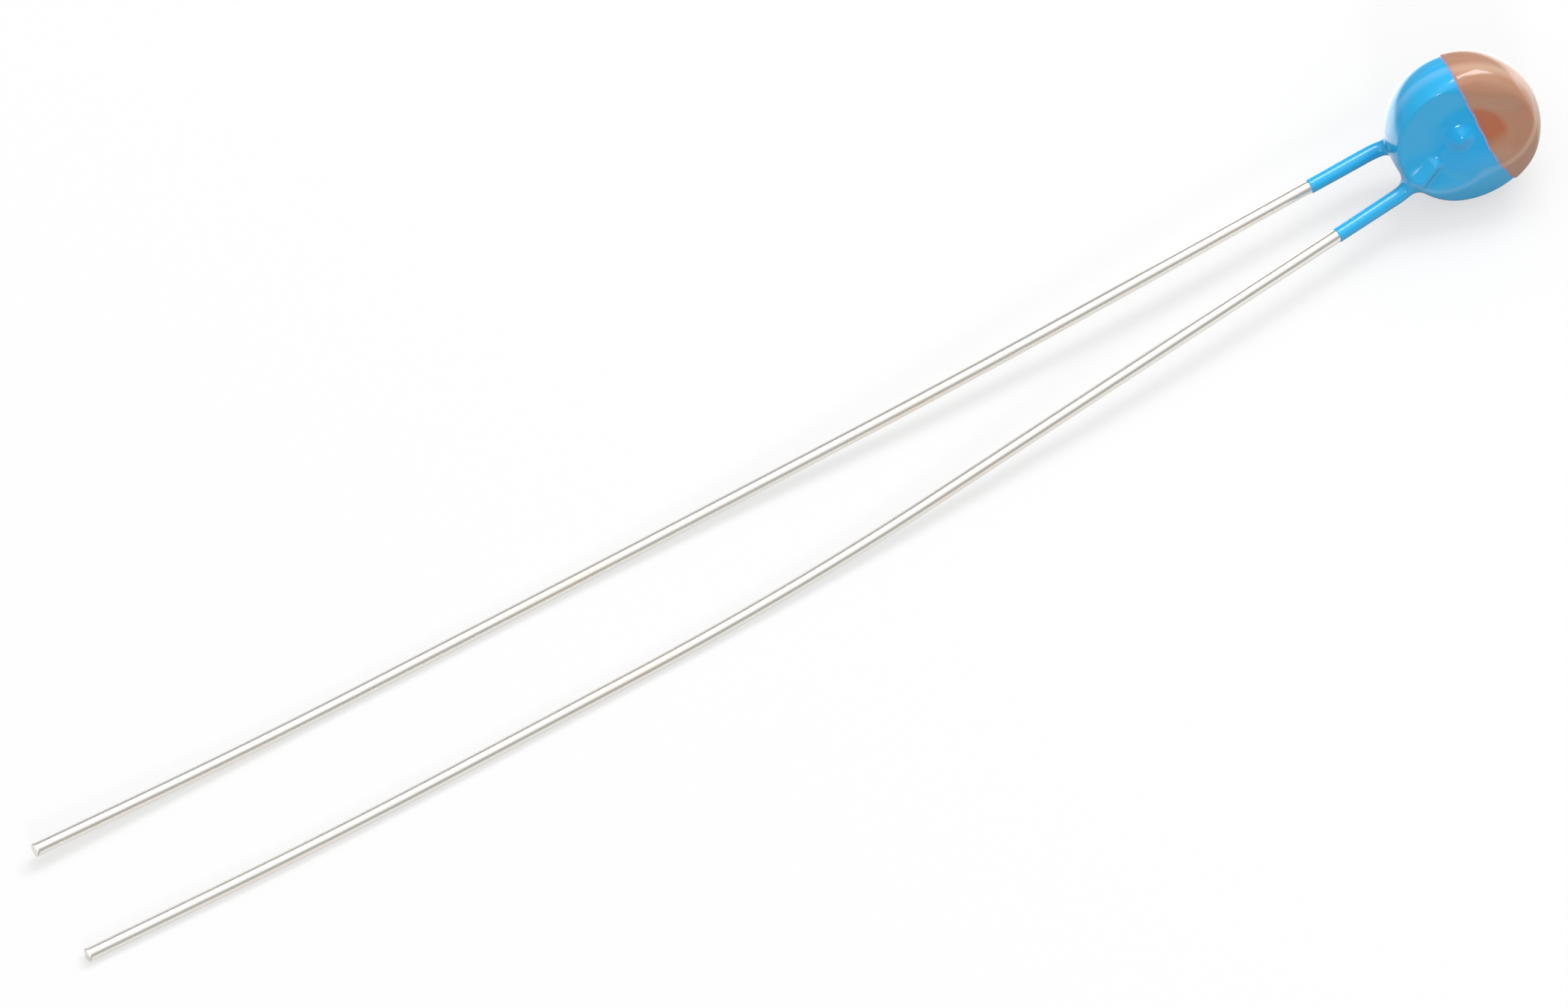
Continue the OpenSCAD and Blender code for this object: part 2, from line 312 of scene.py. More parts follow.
class Shader:
    """The node tree of one material or world."""

    def __init__(self, owner: bpy.types.Material | bpy.types.World) -> None:
        """Gives the owner an empty tree.

        Args:
            owner: The material or world.
        """
        owner.use_nodes = True
        owner.node_tree.nodes.clear()
        self.owner = owner
        self.tree = owner.node_tree

    def node(
        self, kind: str, settings: dict[str, Any], sockets: dict[Any, Any], out: Any = 0
    ) -> Socket:
        """Adds a node.

        Args:
            kind: The node's type.
            settings: Its own settings, set first.
            sockets: A value or another node's output for each input, by name or number.
            out: The output to return, by name or number.

        Returns:
            That output.
        """
        node = self.tree.nodes.new(kind)
        for key, value in settings.items():
            setattr(node, key, value)
        for key, value in sockets.items():
            if isinstance(value, Socket):
                self.tree.links.new(value.output, node.inputs[key])
            elif isinstance(value, tuple) and len(value) == 3 and node.inputs[key].type == "RGBA":
                node.inputs[key].default_value = (*value, 1.0)
            else:
                node.inputs[key].default_value = value
        return Socket(self, node.outputs[out] if len(node.outputs) else None)

    def coordinates(self, kind: str) -> Socket:
        """Place on a piece ("Object"), or direction in the room ("Generated")."""
        return self.node("ShaderNodeTexCoord", {}, {}, kind)

    def attribute(self, name: str) -> Socket:
        """The vectors kept on a piece's points under a name."""
        return self.node("ShaderNodeAttribute", {"attribute_name": name}, {}, "Vector")

    def ray(self, kind: str) -> Socket:
        """One for rays of a kind, "Camera" or "Glossy", and nothing for the others."""
        return self.node("ShaderNodeLightPath", {}, {}, f"Is {kind} Ray")

    def axis(self, vector: Socket, number: int) -> Socket:
        """One coordinate of a vector: 0, 1 or 2 for x, y or z."""
        return self.node("ShaderNodeSeparateXYZ", {}, {0: vector}, number)

    def noise(self, place: Socket, scale: float, detail: float, roughness: float) -> Socket:
        """Noise of a scale in waves per unit of place, from 0 to 1."""
        sockets = {"Vector": place, "Scale": scale, "Detail": detail, "Roughness": roughness}
        return self.node("ShaderNodeTexNoise", {}, sockets)

    def blend(self, share: Any, first: Any, second: Any) -> Socket:
        """Colour that runs from the first to the second as share runs from 0 to 1."""
        sockets = {MIX_SHARE: share, MIX_FIRST: first, MIX_SECOND: second}
        return self.node("ShaderNodeMix", {"data_type": "RGBA"}, sockets, MIX_COLOUR)

    def stretched(self, place: Socket, scale: Triple) -> Socket:
        """The place with each axis scaled."""
        return self.node("ShaderNodeVectorMath", {"operation": "MULTIPLY"}, {0: place, 1: scale})

    def bump(
        self, height: Socket, distance: float, strength: float, under: Socket | None = None
    ) -> Socket:
        """Normal of a bumpy surface.

        Args:
            height: Pattern of the bumps, from 0 to 1.
            distance: How high they are, in metres.
            strength: How much of them shows.
            under: Normal of the surface that they lie on, if it is bumpy itself.

        Returns:
            The normal.
        """
        sockets = {"Height": height, "Distance": distance, "Strength": strength}
        if under is not None:
            sockets["Normal"] = under
        return self.node("ShaderNodeBump", {}, sockets)

    def surface(self, sockets: dict[str, Any]) -> bpy.types.Material:
        """Ends the tree in a Principled surface.

        Args:
            sockets: A value or another node's output for each of its inputs, by name.

        Returns:
            The finished material.
        """
        body = self.node("ShaderNodeBsdfPrincipled", {}, sockets)
        self.node("ShaderNodeOutputMaterial", {}, {"Surface": body})
        return self.owner


# -------- finishes
# A noise is given as its scale, detail and roughness, and a bump as its height and strength.


@dataclass(frozen=True)
class Lacquer:
    """Glossy dipped lacquer with flow marks and dust; a painted dark reflection on the front mound
    and a painted highlight along the bevel.
    """

    name: str
    colour: Colour
    # colour of the painted dark reflection laid over the front mound
    painted_dark_reflection: Colour
    fringe: Colour
    # edge is the colour of a painted pale highlight along the bevel
    edge: Colour
    fleck: Colour
    roughness: float = 0.17
    roughness_spread: float = 0.06
    ior: float = 1.58
    cloud: Triple = (700.0, 2.0, 0.5)
    cloud_step: Pair = (0.35, 0.7)
    cloud_share: float = 0.15
    grain: Triple = (9000.0, 3.0, 0.6)
    grain_bump: Pair = (0.0000006, 0.5)
    dust: Triple = (16000.0, 1.0, 0.5)
    dust_step: Pair = (0.70, 0.76)
    dust_share: float = 0.2
    # how much of the painted highlight shows
    highlight_share: float = 0.7
    flow: Triple = (1500.0, 1.0, 0.5)
    flow_bump: Pair = (0.000004, 0.6)

    def material(self) -> bpy.types.Material:
        """Builds the lacquer.

        The attribute "film" holds where a dark reflection is painted, where it thins out and where
        a pale highlight is painted along the bevel.

        Returns:
            The material.
        """
        shader = Shader(bpy.data.materials.new(self.name))
        place = shader.coordinates("Object")
        film = shader.attribute("film")
        dark_reflection_share, thin, edge = (shader.axis(film, number) for number in range(3))
        cloud = shader.noise(place, *self.cloud).step(*self.cloud_step)
        grain = shader.noise(place, *self.grain)
        dust = shader.noise(place, *self.dust).step(*self.dust_step)
        # painted dark reflection, mixed with a cloudy tone at random
        dark_reflection_and_cloud = dark_reflection_share * (1.0 - self.cloud_share) + cloud * self.cloud_share
        colour = shader.blend(dark_reflection_and_cloud, self.colour, self.painted_dark_reflection)
        colour = shader.blend(dust * self.dust_share, colour, self.fleck)
        # painted pale highlight along the bevel
        colour = shader.blend(edge * self.highlight_share, colour, self.edge)
        colour = shader.blend(thin, colour, self.fringe)
        flow = shader.bump(shader.noise(place, *self.flow), *self.flow_bump)
        return shader.surface(
            {
                "Base Color": colour,
                "Roughness": grain.about(self.roughness, self.roughness_spread),
                "IOR": self.ior,
                "Normal": shader.bump(grain, *self.grain_bump, flow),
            }
        )


@dataclass(frozen=True)
class Tin:
    """Bright tinned copper wire: drawing lines along it, faint warm tarnish, small nicks."""

    name: str
    colour: Colour
    tarnish: Colour
    roughness: float
    roughness_spread: float = 0.12
    lines: Triple = (3.0, 3.0, 0.5)
    lines_stretch: Triple = (9.0, 9.0, 0.25)
    patches: Triple = (1.0, 2.0, 0.5)
    patches_stretch: Triple = (0.6, 0.6, 0.12)
    patches_step: Pair = (0.45, 0.75)
    nicks: Triple = (3.0, 3.0, 0.5)
    nicks_step: Pair = (0.60, 0.72)
    nicks_depth: float = 0.6
    wear_bump: Pair = (0.0000015, 0.6)

    def material(self) -> bpy.types.Material:
        """Builds the tin.

        The attribute "wrap" holds the place round the wire and along it.

        Returns:
            The material.
        """
        shader = Shader(bpy.data.materials.new(self.name))
        wrap = shader.attribute("wrap")
        lines = shader.noise(shader.stretched(wrap, self.lines_stretch), *self.lines)
        patches = shader.noise(shader.stretched(wrap, self.patches_stretch), *self.patches)
        nicks = shader.noise(wrap, *self.nicks).step(*self.nicks_step)
        tarnished = patches.step(*self.patches_step)
        height = lines + nicks * -self.nicks_depth
        return shader.surface(
            {
                "Base Color": shader.blend(tarnished, self.colour, self.tarnish),
                "Metallic": 1.0,
                "Roughness": lines.about(self.roughness, self.roughness_spread),
                "Normal": shader.bump(height, *self.wear_bump),
            }
        )


@dataclass(frozen=True)
class Grainy:
    """A fired or painted layer with a fine grain: the ceramic, its electrodes and the solder."""

    name: str
    colour: Colour
    fleck: Colour
    roughness: float
    metallic: float
    grain_scale: float
    grain_detail: float = 3.0
    grain_roughness: float = 0.6
    fleck_step: Pair = (0.3, 0.7)
    roughness_spread: float = 0.2
    grain_bump: Pair = (0.000004, 0.5)

    def material(self) -> bpy.types.Material:
        """Builds the layer.

        Returns:
            The material.
        """
        shader = Shader(bpy.data.materials.new(self.name))
        place = shader.coordinates("Object")
        grain = shader.noise(place, self.grain_scale, self.grain_detail, self.grain_roughness)
        flecks = grain.step(*self.fleck_step)
        return shader.surface(
            {
                "Base Color": shader.blend(flecks, self.colour, self.fleck),
                "Metallic": self.metallic,
                "Roughness": grain.about(self.roughness, self.roughness_spread),
                "Normal": shader.bump(grain, *self.grain_bump),
            }
        )


class Finish(Enum):
    """The finishes of the part, by the record's slots."""

    CERAMIC = Grainy("ceramic", (0.10, 0.095, 0.09), (0.16, 0.15, 0.14), 0.75, 0.0, 12000.0)
    ELECTRODE = Grainy("electrode", (0.78, 0.77, 0.75), (0.62, 0.61, 0.60), 0.45, 1.0, 15000.0)
    SOLDER = Grainy("solder", (0.72, 0.72, 0.73), (0.55, 0.55, 0.56), 0.30, 1.0, 5000.0)
    TINNED_WIRE = Tin("tinned_wire", (0.95, 0.92, 0.865), (0.95, 0.85, 0.73), 0.27)
    # in each lacquer the deeper colour is a painted dark reflection, and the edge colour a painted
    # pale highlight
    BLUE_LACQUER = Lacquer(
        "blue_lacquer",
        colour=(0.016, 0.395, 0.740),
        painted_dark_reflection=(0.004, 0.380, 0.770),
        fringe=(0.08, 0.42, 0.80),
        edge=(0.13, 0.48, 0.80),
        fleck=(0.10, 0.50, 0.84),
    )
    BROWN_LACQUER = Lacquer(
        "brown_lacquer",
        colour=(0.43, 0.225, 0.140),
        painted_dark_reflection=(0.42, 0.122, 0.054),
        fringe=(0.36, 0.36, 0.72),
        edge=(0.58, 0.38, 0.27),
        fleck=(0.50, 0.32, 0.22),
    )


# -------- the part


@dataclass(frozen=True)
class Swell:
    """A soft rise of the lacquer over a straight stretch of buried wire."""

    start: Pair
    end: Pair
    reach: float
    height: float

    def height_at(self, x: Array, y: Array) -> Array:
        """Height of the rise: full on the stretch, falling by a smooth step to none at its reach.

        Args:
            x: Places across the face.
            y: Places up the face.

        Returns:
            The height at each place.
        """
        leg = np.subtract(self.end, self.start)
        from_x, from_y = x - self.start[0], y - self.start[1]
        share = np.clip((from_x * leg[0] + from_y * leg[1]) / (leg @ leg), 0.0, 1.0)
        away = np.hypot(from_x - share * leg[0], from_y - share * leg[1])
        return self.height * ease(1.0 - away / self.reach)


@dataclass
class Disc:
    """The coated disc: how it stands, and the fields of its lacquered body."""

    # the ceramic and its coat
    diameter: float = 3.7
    thickness: float = 0.8
    corner_coat: float = 0.125
    rim_swell: float = 0.17
    face_coat: float = 0.37
    face_swell: float = 0.03
    # the mounds, and on the front the rises and the sag
    mound_h: float = 0.14
    mound_r: float = 1.14
    mound_at: Pair = (0.10, 0.08)
    mound_join: float = 0.03
    mound_edge: float = 0.20
    swells: tuple[Swell, ...] = (
        Swell((-0.17, 0.37), (-0.08, 0.41), 0.42, 0.15),
        Swell((-1.12, -0.04), (-2.0, -0.48), 0.28, 0.17),
    )
    sag: float = 0.3
    sag_from: float = 0.75
    sag_to: float = -1.15
    # where the painted dark reflection fades down the front face
    reflection_foot: float = -1.1
    reflection_fade: float = 0.6
    # how it stands, in degrees, and the level of its wires
    lean: float = 23.3
    roll: float = 19.4
    yaw: float = 17.5
    wire_level: float = 0.67
    # the corner, rounder at the brow, and the bevel of the front
    crease: float = 0.07
    bevel: float = 0.44
    bevel_spare: float = 0.12
    bevel_slant: float = 36.0
    bevel_at: float = 271.0
    bevel_half: float = 112.0
    bevel_join: float = 0.08
    # width of the painted highlight between face and bevel
    highlight_width: float = 0.06
    brow: float = 0.52
    brow_at: float = 51.0
    brow_half: float = 44.0
    head_room: float = 0.1
    centre: Array = field(init=False)
    pose: Array = field(init=False)

    def __post_init__(self) -> None:
        """Takes the disc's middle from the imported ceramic, whose box is centred on it."""
        low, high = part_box("ceramic_disc")
        self.centre = np.array((low + high) / 2) / MM
        self.pose = turn(2, -self.yaw) @ turn(0, 90 - self.lean) @ turn(2, self.roll)

    @property
    def corner_r(self) -> float:
        """Radius of the coat at the corner between rim and face."""
        return self.diameter / 2 + self.corner_coat

    @property
    def corner_z(self) -> float:
        """Height of that corner above the disc's middle plane."""
        return self.thickness / 2 + self.face_coat

    @property
    def rim_r(self) -> float:
        """Largest radius of the coat."""
        return self.corner_r + self.rim_swell

    @property
    def reach(self) -> Array:
        """Corner of a box about the disc's middle that holds all of the coat on it."""
        top = self.corner_z + self.face_swell + self.mound_h + self.sag + self.head_room
        return np.array([self.rim_r, self.rim_r, top])

    def to_part(self, points: Array) -> Array:
        """Points of the disc's frame in the part's frame."""
        return points @ self.pose.T + self.centre

    def from_part(self, points: Array) -> Array:
        """Points of the part's frame in the disc's frame."""
        return (points - self.centre) @ self.pose

    def near(self, x: Array, y: Array, angle: float, half: float) -> Array:
        """One towards an angle, falling smoothly to none half so many degrees to either side."""
        apart = np.degrees(np.arctan2(y, x)) - angle
        return ease(1.0 - np.abs((apart + 180.0) % 360.0 - 180.0) / half)

    def lift(self, x: Array, y: Array, z: Array) -> Array:
        """How far the lacquer of a face stands out past its shallow dome.

        Formula: the larger of nothing and a spherical mound, mound_h * (1 - (r / mound_r)^2), with
        the join smoothed. On the front face a sag grows by a smooth step down the face, and the
        buried wire raises its swells.

        Args:
            x: Places across the disc.
            y: Places up the disc.
            z: Their heights, whose sign tells the front from the back.

        Returns:
            The distance for each place.
        """
        away = np.hypot(x - self.mound_at[0], y - self.mound_at[1])
        rise = self.mound_h * (1.0 - (away / self.mound_r) ** 2)
        mound = -melt(-rise, 0.0 * x, self.mound_join)
        sag = self.sag * ease((self.sag_from - y) / (self.sag_from - self.sag_to))
        for swell in self.swells:
            sag = sag + swell.height_at(x, y)
        return mound + np.where(z > 0, sag, 0.0)

    def painted_dark_reflection(self, points: Array) -> Array:
        """Where a dark reflection is painted: on the front mound, fading softly down the face.

        Args:
            points: Points in the disc's frame.

        Returns:
            A share from 0 to 1 for each point.
        """
        x, y, z = np.moveaxis(points, -1, 0)
        away = np.hypot(x - self.mound_at[0], y - self.mound_at[1])
        on_mound = ease((self.mound_r - away) / self.mound_edge)
        on_face = ease((z - self.corner_z) / self.face_swell)
        return on_mound * on_face * ease((y - self.reflection_foot) / self.reflection_fade)

    def sides(self, points: Array) -> tuple[Array, Array, Array]:
        """Fields of the rim, the face and the bevel.

        Formula: in the half plane of radius and height the rim is the inside of a circle, and the
        face what lies under a large circle. The bevel is a slanting share of both that cuts the
        corner between them where the lacquer of the front has sagged.

        Args:
            points: Points in the disc's frame.

        Returns:
            The values of the three fields.
        """
        x, y, z = np.moveaxis(points, -1, 0)
        half = np.stack([np.hypot(x, y), np.abs(z)], axis=-1)
        rim_arc = (self.corner_z**2 + self.rim_swell**2) / (2 * self.rim_swell)
        face_arc = (self.corner_r**2 + self.face_swell**2) / (2 * self.face_swell)
        rim = circle(half, (self.rim_r - rim_arc, 0.0), rim_arc)
        face = circle(half, (0.0, self.corner_z + self.face_swell - face_arc), face_arc)
        face = face - self.lift(x, y, z)
        slant = np.radians(self.bevel_slant)
        cut = self.bevel * self.near(x, y, self.bevel_at, self.bevel_half) - self.bevel_spare
        bevel = np.sin(slant) * rim + np.cos(slant) * face + np.where(z > 0, cut, -self.bevel_spare)
        return rim, face, bevel

    def body(self, points: Array) -> Array:
        """Field of the coated disc without its leads: its sides, joined by rounded corners.

        Args:
            points: Points in the disc's frame.

        Returns:
            The values of the field.
        """
        x, y, z = np.moveaxis(points, -1, 0)
        rim, face, bevel = self.sides(points)
        wide = np.where(z > 0, self.brow * self.near(x, y, self.brow_at, self.brow_half), 0.0)
        return trim(trim(rim, face, self.crease + wide), bevel, self.bevel_join)

    def edge(self, points: Array) -> Array:
        """Where the front face turns into the bevel, and a pale highlight is painted.

        Args:
            points: Points in the disc's frame.

        Returns:
            A share from 0 to 1 for each point.
        """
        _, face, bevel = self.sides(points)
        beside = ease(1.0 - np.abs(face - bevel) / self.highlight_width)
        return beside * (points[..., 2] > 0)


@dataclass(frozen=True)
class Stretch:
    """One stretch of a lead, seen from above.

    The heading is in degrees from -X towards -Y. The stretch ends at its share of the drop from
    the root to the table, and its lift above that.
    """

    length: float
    heading: float
    drop: float
    lift: float = 0.0


@dataclass
class Lead:
    """One tinned wire: its route from the face of the disc to its cut end.

    The wire crosses the face on its side of the disc (1 is the front, -1 the back) at the fan
    angle, offset from the middle.
    """

    name: str
    node: str
    disc: Disc
    side: int
    fan: float
    offset: float
    bend_gap: float
    stretches: tuple[Stretch, ...]
    sleeve: float
    wire_r: float = 0.19
    tail: float = 0.4
    bare_tail: float = 0.2
    overrun: float = 0.1
    gentle_reach: float = 5.0
    leg_share: float = 0.48
    root_reach: float = 0.34
    root_points: int = 9
    corner_points: int = 40
    spacing: float = 0.08
    sides: int = 48
    end_radii: tuple[float, ...] = (1.0, 0.97, 0.90, 0.6, 0.0)
    end_pushes: tuple[float, ...] = (0.0, 0.010, 0.014, 0.015, 0.015)
    corners: Array = field(init=False)

    def __post_init__(self) -> None:
        """Works out the corners of the route: its start, its root and the end of each stretch."""
        fan = np.radians(self.fan)
        across = np.array([-np.cos(fan), -self.side * np.sin(fan), 0.0])
        foot_x, foot_y = -np.sin(fan) * self.offset, self.side * np.cos(fan) * self.offset
        foot = np.array([foot_x, foot_y, self.side * self.disc.wire_level])
        run = np.sqrt((self.disc.rim_r + self.bend_gap) ** 2 - self.offset**2)
        start = self.disc.to_part(foot - self.tail * across)
        root = self.disc.to_part(foot + run * across)
        route = [start, root]
        for part in self.stretches:
            turned = np.radians(part.heading)
            step = part.length * np.array([np.cos(turned), np.sin(turned)])
            level = root[2] + (self.wire_r - root[2]) * part.drop + part.lift
            route.append(np.array([*(route[-1][:2] - step), level]))
        self.corners = np.array(route)

    @property
    def root(self) -> Array:
        """Where the wire bends past the rim."""
        return self.corners[1]

    @property
    def sleeve_end(self) -> Array:
        """Where the lacquer on the wire ends."""
        return self.root + self.sleeve * unit(self.corners[2] - self.root)

    def inner_line(self) -> Array:
        """The lacquered line: across the face, round the bend, and just past the lacquer's end.

        Returns:
            The line's points.
        """
        across = unit(self.root - self.corners[0])
        out = unit(self.corners[2] - self.root)
        t = np.linspace(0.0, 1.0, self.root_points)[:, None]
        bend = self.root + self.root_reach * (t**2 * out - (1 - t) ** 2 * across)
        foot = self.corners[0] + self.bare_tail * across
        return np.concatenate([foot[None], bend, (self.sleeve_end + self.overrun * out)[None]])

    def route(self) -> Array:
        """Evenly spaced points along the route.

        Formula: each corner is rounded by the curve (1-t)^2 A + 2t(1-t) C + t^2 B, where A and B
        lie one reach before and after the corner C. The whole is then spaced by length.

        Returns:
            The points.
        """
        legs = np.diff(self.corners, axis=0)
        lengths = np.linalg.norm(legs, axis=1)
        along = unit(legs)
        shorter = np.minimum(lengths[:-1], lengths[1:])
        reach = np.minimum(self.gentle_reach, self.leg_share * shorter)
        reach[0] = self.root_reach
        corner = self.corners[1:-1]
        before = (corner - reach[:, None] * along[:-1])[:, None]
        after = (corner + reach[:, None] * along[1:])[:, None]
        t = np.linspace(0.0, 1.0, self.corner_points)[None, :, None]
        arcs = (1 - t) ** 2 * before + 2 * t * (1 - t) * corner[:, None] + t**2 * after
        line = np.concatenate([self.corners[:1], arcs.reshape(-1, 3), self.corners[-1:]])
        gone = gone_along(line)
        even = np.linspace(0.0, gone[-1], int(gone[-1] / self.spacing))
        return np.stack([np.interp(even, gone, line[:, axis]) for axis in range(3)], axis=-1)

    def build(self) -> bpy.types.Object:
        """Carries a circle along the route and closes it at both ends.

        Formula: a ring at each point of the route, square to it, of the wire's radius. At either
        end more rings shrink to nothing: the first ones round the edge, the rest flat.

        Returns:
            The piece.
        """
        line = self.route()
        along = unit(np.gradient(line, axis=0))
        sideways = unit(np.cross(along, [0.0, 0.0, 1.0]))
        upright = np.cross(sideways, along)
        ends, pushes = np.array(self.end_radii), np.array(self.end_pushes)
        first, last = np.zeros(len(ends), int), np.full(len(ends), len(line) - 1)
        rows = np.concatenate([first, np.arange(len(line)), last])
        shares = np.concatenate([ends[::-1], np.ones(len(line)), ends])[:, None, None]
        push = np.concatenate([-pushes[::-1], np.zeros(len(line)), pushes])[:, None, None]
        around = np.linspace(0.0, 2 * np.pi, self.sides, endpoint=False)[None, :, None]
        ring = np.cos(around) * sideways[rows][:, None] + np.sin(around) * upright[rows][:, None]
        points = line[rows][:, None] + push * along[rows][:, None]
        points = points + self.wire_r * shares * ring
        wrap = np.concatenate([np.cos(around), np.sin(around), 0 * around], axis=-1) * shares
        gone = gone_along(line)[rows][:, None, None]
        wrap = wrap + np.array([0.0, 0.0, 1.0]) * (gone + push)
        faces = tube_faces(len(rows), self.sides)[:, ::-1]
        kept = {"wrap": wrap.reshape(-1, 3)}
        tin = Finish.TINNED_WIRE.value.material()
        return write_piece(self.name, points.reshape(-1, 3), faces, kept, tin)


@dataclass
class Coat:
    """The blue lacquer over the disc, the wires on its faces and the first stretch of each lead."""

    disc: Disc
    leads: tuple[Lead, ...]
    # the sleeve on each wire, thinner towards its ragged hem
    sleeve: float = 0.035
    sleeve_end: float = 0.018
    hem: float = 0.05
    sink: float = 0.03
    ragged: float = 0.007
    ragged_waves: Pair = (23.0, 31.0)
    # the fillets beside the wires, wider at the roots
    ridge_fillet: float = 0.08
    root_fillet: float = 0.32
    root_from: float = 1.2
    root_over: float = 0.7
    # long waves of uneven thickness
    ripple: float = 0.004
    ripple_waves: tuple[Triple, ...] = ((1.9, 0.7, 1.3), (-0.8, 2.6, 0.9), (1.1, -1.7, 3.1))
    ripple_starts: Triple = (0.4, 1.9, 3.3)
    pitch: float = 0.032
    margin: float = 0.1
    end_margin: float = 0.3

    def ripples(self, points: Array) -> Array:
        """Uneven thickness: the sum of sine waves, each along its own direction."""
        phases = points @ np.array(self.ripple_waves).T + np.array(self.ripple_starts)
        return self.ripple * np.sin(phases).sum(axis=-1)

    def sleeve_field(self, points: Array, lead: Lead) -> Array:
        """Field of the lacquer round one lead.

        Formula: distance to the nearest of the straight pieces of the lead's rounded line, less a
        radius. The radius falls slowly along the sleeve, then drops inside the wire over the hem.

        Args:
            points: Points in the disc's frame.
            lead: The lead.

        Returns:
            The values of the field.
        """
        line = self.disc.from_part(lead.inner_line())
        nearest = np.full(points.shape[:-1], np.inf)
        gone = np.zeros(points.shape[:-1])
        start = 0.0
        for a, b in zip(line[:-1], line[1:]):
            leg = b - a
            length = np.linalg.norm(leg)
            share = np.clip((points - a) @ leg / length**2, 0.0, 1.0)
            apart = np.linalg.norm(points - a - share[..., None] * leg, axis=-1)
            closer = apart < nearest
            nearest = np.where(closer, apart, nearest)
            gone = np.where(closer, start + share * length, gone)
            start += length
        end = start - 2 * self.hem
        x, y, _ = np.moveaxis(points, -1, 0)
        x_waves, y_waves = self.ragged_waves
        rough = self.ragged * (np.sin(x_waves * x) + np.sin(y_waves * y + 1.0))
        coat = self.sleeve + (self.sleeve_end - self.sleeve) * ease(gone / end)
        drop = ease((gone + rough - end + self.hem) / self.hem)
        return nearest - lead.wire_r - coat + (coat + self.sink) * drop

    def solid(self, points: Array) -> Array:
        """Field of the whole coat: the disc and the sleeves, with fillets wider past the rim.

        Args:
            points: Points in the disc's frame.

        Returns:
            The values of the field.
        """
        whole = self.disc.body(points)
        away = np.hypot(points[..., 0], points[..., 1])
        outward = ease((away - self.root_from) / self.root_over)
        reach = self.ridge_fillet + (self.root_fillet - self.ridge_fillet) * outward
        for lead in self.leads:
            whole = melt(whole, self.sleeve_field(points, lead), reach)
        return whole + self.ripples(points)

    def build(self) -> bpy.types.Object:
        """Finds the skin of the coat in the disc's frame and puts it in the part's.

        Returns:
            The piece.
        """
        ends = self.disc.from_part(np.stack([lead.sleeve_end for lead in self.leads]))
        reach = self.disc.reach + self.margin
        low = np.minimum(-reach, ends.min(axis=0) - self.end_margin)
        high = np.maximum(reach, ends.max(axis=0) + self.end_margin)
        points, faces = skin(self.solid, low, high, self.pitch)
        nowhere = 0.0 * points[:, 0]
        # film: the painted dark reflection, no thinning, and the painted highlight by the bevel
        film = np.stack([self.disc.painted_dark_reflection(points), nowhere, self.disc.edge(points)], axis=-1)
        blue = Finish.BLUE_LACQUER.value.material()
        return write_piece("blue_coat", self.disc.to_part(points), faces, {"film": film}, blue)


@dataclass
class Cap:
    """The brown lacquer dipped over the end of the disc that points away from the leads."""

    coat: Coat
    thickness: float = 0.045
    buried: float = 0.03
    hem: float = 0.16
    # the dip line: how it bows, tips and waves
    line: float = 0.34
    bow: float = 0.037
    tip: float = 6.0
    sway: float = 0.03
    sway_waves: float = 2.1
    flutter: float = 0.012
    flutter_waves: float = 9.0
    flutter_start: float = 0.8
    # its thin fringe, and where the painted dark reflection on it fades
    edge: float = 0.075
    fringe: float = 0.07
    patch_foot: float = -0.4
    patch_fade: float = 0.5
    pitch: float = 0.03
    margin: float = 0.15

    def beyond(self, points: Array) -> Array:
        """How far a point lies past the dip line, which bows, waves and tips to the back.

        Args:
            points: Points in the disc's frame.

        Returns:
            The distance for each point, negative before the line.
        """
        x, y, z = np.moveaxis(points, -1, 0)
        line = self.line + self.bow * y**2 + self.sway * np.sin(self.sway_waves * y)
        line = line + self.flutter * np.sin(self.flutter_waves * y + self.flutter_start)
        return x - line - np.tan(np.radians(self.tip)) * (z - self.coat.disc.corner_z)

    def solid(self, points: Array) -> Array:
        """Field of the cap: a shell on the coat that thickens over its hem past the dip line.

        Args:
            points: Points in the disc's frame.

        Returns:
            The values of the field.
        """
        under = self.coat.solid(points)
        beyond = self.beyond(points)
        film = (self.thickness + self.buried) * ease(beyond / self.hem) - self.buried
        rise = np.where(beyond < 0, -self.buried, film)
        return np.maximum(under - rise, -(under + self.buried))

    def build(self) -> bpy.types.Object:
        """Finds the skin of the cap in the disc's frame and puts it in the part's.

        Returns:
            The piece.
        """
        disc = self.coat.disc
        high = disc.reach + self.margin
        low = high * [0.0, -1.0, -1.0]
        points, faces = skin(self.solid, low, high, self.pitch)
        thin = 1.0 - ease((self.beyond(points) - self.edge) / self.fringe)
        # film: the painted dark reflection, the thin fringe, and the painted highlight by the bevel
        painted_dark_reflection = disc.painted_dark_reflection(points) * ease((points[:, 1] - self.patch_foot) / self.patch_fade)
        film = np.stack([painted_dark_reflection, thin, disc.edge(points)], axis=-1)
        brown = Finish.BROWN_LACQUER.value.material()
        return write_piece("brown_cap", disc.to_part(points), faces, {"film": film}, brown)


# -------- the studio


